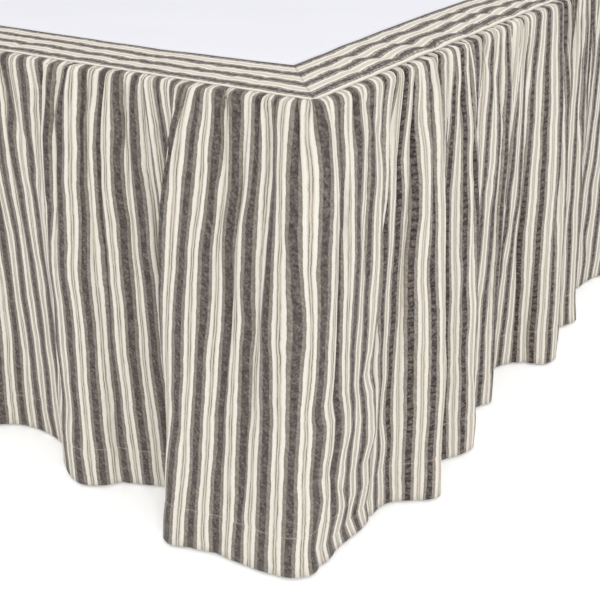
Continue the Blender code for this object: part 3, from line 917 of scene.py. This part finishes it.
# %% Waves and edges of the border
BORDER_WAVES = {"foot": {"spacing": 34.0, "depth": 1.5, "width": 8.0, "lean": 0.3},
                "side": {"spacing": 52.0, "depth": 6.0, "width": 14.0, "lean": 0.35}}
WAVE_SPREADS = {"spacing": (0.6, 1.35), "depth": (0.5, 1.2), "width": (0.8, 1.2)}
WAVES_LEVEL, WAVES_SOFT, SOFT_ALONG, SOFT_INWARD = 0.75, 0.25, 24.0, 40.0
CALM_CORNER, CALM_SHARE = (50.0, 150.0), (0.3, 1.0)
RISES_WITHIN, FALLS_LIKE = 9.0, 0.55
LAY_COLUMNS = ("place", "edge_moves")
EDGE_LAY = {
    "foot": ((-896, 4), (-820, 0), (-650, 2), (-420, -1), (-285, -4), (-211, -5), (-148, -1),
             (-108, 1), (-75, 4)),
    "side": ((75, -6), (150, -3), (241, 2), (355, 5), (520, 4), (760, 0)),
}


def border_edge(place, strip):
    """How far inwards of the seam the strip's inner edge lies at `place`."""
    return BORDER + np.interp(place, *np.array(EDGE_LAY[strip], float).T)


def border_waves(place, inward, strip, seed):
    """Height of the strip above its lowest level, in millimetres."""
    spacing, depth, width, lean = BORDER_WAVES[strip].values()
    draw = np.random.default_rng(seed)
    calm = np.interp(np.abs(place), CALM_CORNER, CALM_SHARE) if strip == "side" else 1.0
    height = depth * WAVES_LEVEL * np.ones(place.shape)
    at, far = place.min() - spacing, place.max() + spacing
    while at < far:
        at += spacing * draw.uniform(*WAVE_SPREADS["spacing"])
        away = np.abs(place - at - lean * draw.uniform(-1, 1) * inward)
        deep = depth * draw.uniform(*WAVE_SPREADS["depth"])
        height -= deep * np.exp(-away / (width * draw.uniform(*WAVE_SPREADS["width"])))
    height += WAVES_SOFT * depth * soft_noise(place / SOFT_ALONG, inward / SOFT_INWARD, seed)
    left = 1 - np.clip(inward / BORDER, 0, 1)
    return np.maximum(height, 0) * np.clip(inward / RISES_WITHIN, 0.1, 1) * left**FALLS_LIKE * calm


print("inner edge of the border, columns", ", ".join(LAY_COLUMNS), EDGE_LAY["side"])

# %% [markdown]
# ## Points of a strip
# The mitred ends are cut at 45 degrees. The sewn edges and mitres are held, so the waves are low
# there, and the turned inner edge is lifted a little by the fold under it.

# %% Places on the border
BORDER_STEP = 3.0
BORDER_ROWS = 26
MITRE_GAP, MITRE_AT = 0.03, 75.0
EDGE_LIFT, LIFTED_FROM, LIFTED_OVER = 0.3, 0.85, 0.15
FREE_WITHIN, LEAST_FREE = 30.0, 0.25
STRIPES_FROM, STRIPES_TO = -2.8, 78.4
TURNED_BY, TURN_LENGTH, TURNED_FROM, TURNED_OVER = 1.6, 11.0, 0.9, 0.1
BEND_COLUMNS = ("size", "along", "inward", "seed")
BENDS = ((0.9, 30.0, 60.0, 5), (1.2, 7.0, 13.0, 7))


def border_stripes(place, inward, down, seed):
    """Which part of the stripe lies at each point; the turned edge and the weave make it wander."""
    at_edge = np.clip((down - TURNED_FROM) / TURNED_OVER, 0, 1)
    turned = TURNED_BY * soft_noise(place / TURN_LENGTH, 0 * inward, seed + 3) * at_edge
    bend = sum(size * soft_noise(place / along, inward / across, seed + salt)
               for size, along, across, salt in BENDS) * np.sin(down * math.pi)
    return STRIPES_FROM + (STRIPES_TO - STRIPES_FROM) * (1 - down) + turned + bend


def border_grid(start, end, first_mitre, last_mitre, strip, seed):
    """Points of a strip whose ends are cut at 45 degrees where there is a mitre."""
    down = np.linspace(0, 1, BORDER_ROWS)[:, None]
    share = np.linspace(0, 1, round(abs(end - start) / BORDER_STEP) + 1)[None, :]
    neighbour = border_edge(*((MITRE_AT, "side") if strip == "foot" else (-MITRE_AT, "foot")))
    inner_start = start + (neighbour + MITRE_GAP) * first_mitre
    inner_end = end - (neighbour + MITRE_GAP) * last_mitre
    edge = border_edge(inner_start + (inner_end - inner_start) * share, strip) - JOIN_GAP / 2
    inward = down * edge
    cut = inward * neighbour / edge + MITRE_GAP
    low, high = start + cut * first_mitre, end - cut * last_mitre
    place = low + (high - low) * share
    free = np.minimum(place - low + FREE_WITHIN * (1 - first_mitre),
                      high - place + FREE_WITHIN * (1 - last_mitre)) / FREE_WITHIN
    rise = border_waves(place, inward, strip, seed)
    rise = rise * (LEAST_FREE + (1 - LEAST_FREE) * np.clip(free, 0, 1))
    rise = rise + EDGE_LIFT * np.clip((down - LIFTED_FROM) / LIFTED_OVER, 0, 1)
    return place, inward, rise, border_stripes(place, inward, down, seed)


print("border of", BORDER_ROWS, "rows, a point every", BORDER_STEP, "mm")
print(len(BENDS), "bends of the stripes, columns", ", ".join(BEND_COLUMNS))

# %% [markdown]
# ## Laying the strips
# The strips lie on the box, and their outer corners are drawn in to its round corners.

# %% Lay the border
def rounded_corners(x, y):
    """Plan points drawn in to the round of the seam at its two corners."""
    middle = -SEAM_WIDTH / 2
    out = np.maximum(np.abs(x - middle) + middle + CORNER_ROUND, 0)
    front = np.maximum(CORNER_ROUND - y, 0)
    pull = np.minimum(CORNER_ROUND / np.maximum(np.hypot(out, front), 0.001), 1)
    pull = np.where((out > 0) & (front > 0), pull, 1.0)
    return x - np.sign(x - middle) * out * (1 - pull), y + front * (1 - pull)


def lay_border(name, start, end, mitres, strip, seed, to_plan):
    place, inward, rise, stripes = border_grid(start, end, *mitres, strip, seed)
    plan = rounded_corners(*to_plan(place, inward))
    level = DECK_LEVEL + CLOTH / 2 + rise
    made = cloth_sheet(name + "_cloth", to_bed(np.stack([*plan, level], -1)),
                       stripes, place + BORDER_PLACE, ticking)
    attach(made, "root")
    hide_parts(name)


lay_border("border_foot", -SEAM_WIDTH, 0.0, (1, 1), "foot", 3, lambda a, b: (a, b))
lay_border("border_right", 0.0, SEAM_DEPTH, (1, 0), "side", 11, lambda a, b: (-b, a))
lay_border("border_left", 0.0, SEAM_DEPTH, (1, 0), "side", 19, lambda a, b: (b - SEAM_WIDTH, a))

# %% [markdown]
# ## The deck
# The deck is plain white cotton sheeting that lies flat under the mattress. It is bleached, so it
# looks faintly blue beside the cream stripes. Long soft wrinkles cross it where it was folded.

# %% White sheeting and the deck
def make_sheeting(name):
    made, tree, shader = new_material(name, 0.85, Sheen_Weight=0.08, Sheen_Roughness=0.5)
    flat = node(tree, "ShaderNodeUVMap", {"uv_map": "flat_cloth"})
    cloudy = node(tree, "ShaderNodeTexNoise", Vector=flat, Scale=9.0, Detail=2.0)
    tint = node(tree, *MIX_COLOURS, cloudy, linear("#E8E8EE"), linear("#ECECF2"))
    weave = node(tree, "ShaderNodeTexNoise", Vector=flat, Scale=700.0, Detail=1.0)
    bump = node(tree, "ShaderNodeBump", Strength=0.25, Distance=0.0004, Height=weave)
    finish_material(tree, shader, tint, bump)
    return made


sheeting = make_sheeting("white_cotton_sheeting")
DECK_STEP = 11.0
DECK_WRINKLE, WRINKLE_SHARE, FLAT_EDGE = 1.5, 0.4, 40.0
WRINKLE_COLUMNS = ("size", "length", "width", "seed")
WRINKLES = ((1.0, 160.0, 45.0, 71), (0.5, 70.0, 21.0, 72))
half_join = JOIN_GAP / 2


def deck_grid():
    """Flat places of the deck, whose edges follow the inner edges of the border."""
    across = np.linspace(0, 1, round((SEAM_WIDTH - 2 * BORDER) / DECK_STEP))[None, :]
    along = np.linspace(0, 1, round((SEAM_DEPTH - BORDER) / DECK_STEP))[:, None]
    x, y = SEAM_WIDTH * (across - 1), BORDER + (SEAM_DEPTH - BORDER) * along
    for _ in range(4):
        side = border_edge(y, "side") + half_join
        x = side - SEAM_WIDTH + (SEAM_WIDTH - 2 * side) * across
        front = border_edge(x, "foot") + half_join
        y = front + (SEAM_DEPTH - front) * along
    return x, y, side, front


grid_x, grid_y, side, front = deck_grid()
lengthwise, crosswise = grid_x * 0.9 + grid_y * 0.45, grid_y - grid_x * 0.4
wrinkle = sum(size * soft_noise(lengthwise / length, crosswise / width, seed)
              for size, length, width, seed in WRINKLES)
edge = np.minimum.reduce([grid_x + SEAM_WIDTH - side, -side - grid_x, grid_y - front])
rise = DECK_WRINKLE * (1 - WRINKLE_SHARE + WRINKLE_SHARE * wrinkle)
rise = rise * np.clip(edge / FLAT_EDGE, 0, 1)
print(len(WRINKLES), "kinds of wrinkle, columns", ", ".join(WRINKLE_COLUMNS))
points = np.stack([grid_x, grid_y, DECK_LEVEL + CLOTH / 2 + rise], -1)
deck = cloth_sheet("deck_cloth", to_bed(points), grid_x, grid_y, sheeting)
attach(deck, "root")
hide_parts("deck")

# %% [markdown]
# ## The box spring
# The base is a wooden frame with springs under a taut padded cover. Its cover is made as rings
# round the base, one above the other. On three sides it stays flat under the skirt. The head end
# is open, so there the rings follow a piped seam near each edge and a panel that swells a little
# between them, with small puckers where the panel is sewn to the piping.

# %% Shape the padded cover
BOX_THICK, BOX_SOFT_EDGE, BOX_SLACK = 230.0, 11.0, 0.4
PIPE_FROM_EDGE, PIPE_RADIUS = 14.0, 2.6
PANEL_SWELL, PUCKER_DEPTH, PUCKER_SPACING, PUCKER_REACH = 3.5, 0.9, 11.0, 16.0
PUCKER_TALL, HEAD_FROM_CORNER, FACES_HEAD = 60.0, 16.0, 0.2
RING_STEP, ARC_STEPS, PANEL_RINGS = 9.0, 6, 22


def box_outline():
    """Plan points round the base in the frame, and which way each faces."""
    half = np.array([BED_WIDTH / 2, BED_LENGTH / 2]) - BOX_CORNER - BOX_SLACK
    turns = np.linspace(0, math.pi / 2, ARC_STEPS + 1)
    points, facing = [], []
    for number, sign in enumerate(((1, 1), (-1, 1), (-1, -1), (1, -1))):
        angle = turns + number * math.pi / 2
        way = np.stack([np.cos(angle), np.sin(angle)], -1)
        arc = half * sign + BOX_CORNER * way
        following = half * ((-1, 1), (-1, -1), (1, -1), (1, 1))[number] + BOX_CORNER * way[-1]
        steps = round(np.linalg.norm(following - arc[-1]) / RING_STEP)
        run = np.linspace(arc[-1], following, steps)
        points += [arc, run[1:-1]]
        facing += [way, np.broadcast_to(way[-1], (len(run) - 2, 2))]
    return np.concatenate(points), np.concatenate(facing)


def box_profile():
    """Rings from the bottom to the top: inset, height, share of the piping and of the swell."""
    quarter = np.linspace(0, math.pi / 2, ARC_STEPS + 1)
    low = [(BOX_SOFT_EDGE * (1 - math.sin(a)), BOX_SOFT_EDGE * (1 - math.cos(a)), 0, 0)
           for a in quarter]
    pipe = [(0, PIPE_FROM_EDGE - PIPE_RADIUS * math.cos(a), math.sin(a), 0)
            for a in np.linspace(0, math.pi, 2 * ARC_STEPS + 1)]
    panel_from = PIPE_FROM_EDGE + PIPE_RADIUS
    heights = np.linspace(panel_from, BOX_THICK - panel_from, PANEL_RINGS)
    panel = [(0, h, 0, math.sin(math.pi * i / (PANEL_RINGS - 1)) ** 0.5)
             for i, h in enumerate(heights)][1:-1]
    top = [(inset, BOX_THICK - h, piping, 0) for inset, h, piping, _ in reversed(low + pipe)]
    return np.array([*low, *pipe, *panel, *top])


outline, facing = box_outline()
profile = box_profile()
inset, height, piping, swell = (column[:, None] for column in profile.T)
from_corner = (BED_WIDTH / 2 - np.abs(outline[:, 0])) / HEAD_FROM_CORNER
at_head = np.clip((facing[:, 1] - FACES_HEAD) / (1 - FACES_HEAD), 0, 1)
at_head *= np.clip(from_corner, 0, 1)
from_pipe = np.minimum(height, BOX_THICK - height) - PIPE_FROM_EDGE
near_pipe = np.exp(-((from_pipe / PUCKER_REACH) ** 2)) * (swell > 0)
puckered = near_pipe * soft_noise(outline[None, :, 0] / PUCKER_SPACING, height / PUCKER_TALL,
                                  SEEDS["panel"])
pushed = PIPE_RADIUS * piping + PANEL_SWELL * swell + PUCKER_DEPTH * puckered
plan = outline + (at_head * pushed - inset)[..., None] * facing
plan[..., 1] += SEAM_FOOT_Y - SEAM_INSET + BED_LENGTH / 2
level = np.broadcast_to(BOX_TOP - BOX_THICK + height, plan.shape[:2])
rings = np.concatenate([plan, level[..., None]], -1) * MM
print(len(profile), "rings of", len(outline), "points round the box spring")

# %% [markdown]
# ## Cover fabric and stained beech
# The cover is a heavy off-white cotton with a fine cross rib and darker slubs. The six legs keep
# their CAD shape and get stained beech, with its grain along the leg.

# %% Finishes of the base
def make_cover(name):
    made, tree, shader = new_material(name, 0.9, Sheen_Weight=0.15, Sheen_Roughness=0.6)
    where = node(tree, "ShaderNodeTexCoord").outputs["Object"]
    rib = node(tree, "ShaderNodeTexWave", {"wave_type": "BANDS", "bands_direction": "Z"},
               Vector=where, Scale=260.0, Distortion=1.2, Detail=1.0)
    stretched = node(tree, *STRETCH, where, (60.0, 60.0, 700.0))
    slub = node(tree, "ShaderNodeTexNoise", Vector=stretched, Scale=1.0, Detail=2.0)
    woven = node(tree, *MULTIPLY_ADD, rib.outputs["Fac"], 0.35, slub)
    tint = node(tree, *MIX_COLOURS, woven, linear("#C9C3B5"), linear("#EBE7DD"))
    bump = node(tree, "ShaderNodeBump", Strength=0.5, Distance=0.0008, Height=woven)
    finish_material(tree, shader, tint, bump)
    return made


def make_beech(name):
    made, tree, shader = new_material(name, 0.45, Coat_Weight=0.2, Coat_Roughness=0.3)
    where = node(tree, "ShaderNodeTexCoord").outputs["Object"]
    stretched = node(tree, *STRETCH, where, (220.0, 220.0, 12.0))
    grain = node(tree, "ShaderNodeTexNoise", Vector=stretched, Scale=1.0, Detail=4.0)
    tint = node(tree, *MIX_COLOURS, grain, linear("#7A5230"), linear("#A87A4C"))
    bump = node(tree, "ShaderNodeBump", Strength=0.15, Distance=0.0003, Height=grain)
    finish_material(tree, shader, tint, bump)
    return made


cover, beech = make_cover("cotton_cover_ribbed"), make_beech("beech_stained")
print("cover:", len(cover.node_tree.nodes), "nodes, beech:", len(beech.node_tree.nodes), "nodes")

# %% [markdown]
# ## The base
# The rings become one closed body. It is upholstered rather than a sheet, so it is named padded.

# %% Make the base and finish the legs
def closed_rings(name, rings, stuff):
    """A closed body from rings of points, with a flat face at the bottom and the top."""
    count, wide = rings.shape[:2]
    index = np.arange(count * wide).reshape(count, wide)
    after = np.roll(index, -1, axis=1)
    sides = np.stack([index[:-1], after[:-1], after[1:], index[1:]], -1).reshape(-1, 4).tolist()
    faces = [*sides, index[0, ::-1].tolist(), index[-1].tolist()]
    made, mesh = add_mesh(name, rings.reshape(-1, 3).tolist(), faces, stuff)
    mesh.polygons.foreach_set("use_smooth", np.arange(len(faces)) < len(sides))
    return made


padded_box = closed_rings("box_spring_cover", rings, cover)
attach(padded_box, "root")
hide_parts("box_spring")
legs = [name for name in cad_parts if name.startswith("leg_")]
for name in legs:
    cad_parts[name].data.materials.clear()
    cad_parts[name].data.materials.append(beech)
print("beech on", sorted(legs))

# %% [markdown]
# ## Floor, light and camera
# The skirt stands on a plain white floor in very soft light: a white sky all round and one large
# soft lamp from the upper right, so that folds have gentle shade and nothing glares.

# %% Stage
FLOOR_SIZE = 30.0
FLOOR_GLOW = 0.24
white, _, white_shader = new_material("painted_floor_white", 0.9, Emission_Strength=FLOOR_GLOW)
white_shader.inputs["Base Color"].default_value = linear("#FAFAFA")
white_shader.inputs["Emission Color"].default_value = linear("#FFFFFF")
half = FLOOR_SIZE / 2
corners = [(-half, -half, 0), (half, -half, 0), (half, half, 0), (-half, half, 0)]
floor, _ = add_mesh("floor", corners, [(0, 1, 2, 3)], white)

SKY_LOW, SKY_RISE = 0.28, 0.88
world = bpy.data.worlds.new("studio")
bpy.context.scene.world = world
world.use_nodes = True
sky, sky_tree = world.node_tree.nodes["Background"], world.node_tree
towards = node(sky_tree, "ShaderNodeTexCoord").outputs["Generated"]
upward = node(sky_tree, "ShaderNodeSeparateXYZ", None, towards).outputs["Z"]
lifted = node(sky_tree, *MAXIMUM, upward, 0.0)
glow = node(sky_tree, *MULTIPLY_ADD, lifted, SKY_RISE, SKY_LOW)
sky.inputs["Color"].default_value = linear("#FFFFFF")
sky_tree.links.new(glow.outputs[0], sky.inputs["Strength"])

LAMP_SIZE, LAMP_POWER = 1.5, 59.0
LAMP_PLACE, LAMP_AIM = (2.6, -3.0, 3.3), (0.3, -0.8, 0.2)
lamp_data = bpy.data.lights.new("soft_lamp", "AREA")
lamp_data.shape, lamp_data.size, lamp_data.energy = "SQUARE", LAMP_SIZE, LAMP_POWER
lamp = add_object("soft_lamp", lamp_data)
lamp.location = LAMP_PLACE
aim = Vector(LAMP_AIM) - lamp.location
lamp.rotation_euler = aim.to_track_quat("-Z", "Y").to_euler()
bpy.context.scene.view_settings.view_transform = "Standard"
print("lamp of", LAMP_POWER, "W,", round(aim.length, 2), "m away")

# %% [markdown]
# ## The camera
# It looks down on the near foot corner from about 0.6 m above the floor, with a slight roll.

# %% Camera
CAMERA_PLACE = (0.8575, -1.496, 0.585)
CAMERA_YAW, CAMERA_DOWN, CAMERA_ROLL = 33.83, 26.65, -0.78
LENS = 57.3
yaw, tilt, roll = (math.radians(a) for a in (CAMERA_YAW, CAMERA_DOWN, CAMERA_ROLL))
look = Vector((-math.sin(yaw) * math.cos(tilt), math.cos(yaw) * math.cos(tilt), -math.sin(tilt)))
right = Vector((math.cos(yaw), math.sin(yaw), 0.0))
up = right.cross(look)
turned_right = math.cos(roll) * right + math.sin(roll) * up
turned_up = math.cos(roll) * up - math.sin(roll) * right
camera_data = bpy.data.cameras.new("camera")
camera_data.lens, camera_data.sensor_width, camera_data.clip_start = LENS, 36.0, 0.01
camera = add_object("camera", camera_data)
camera.matrix_world = Matrix.Translation(CAMERA_PLACE) @ Matrix(
    (turned_right, turned_up, -look)).transposed().to_4x4()
bpy.context.scene.camera = camera
print("camera looks along", [round(v, 3) for v in look])
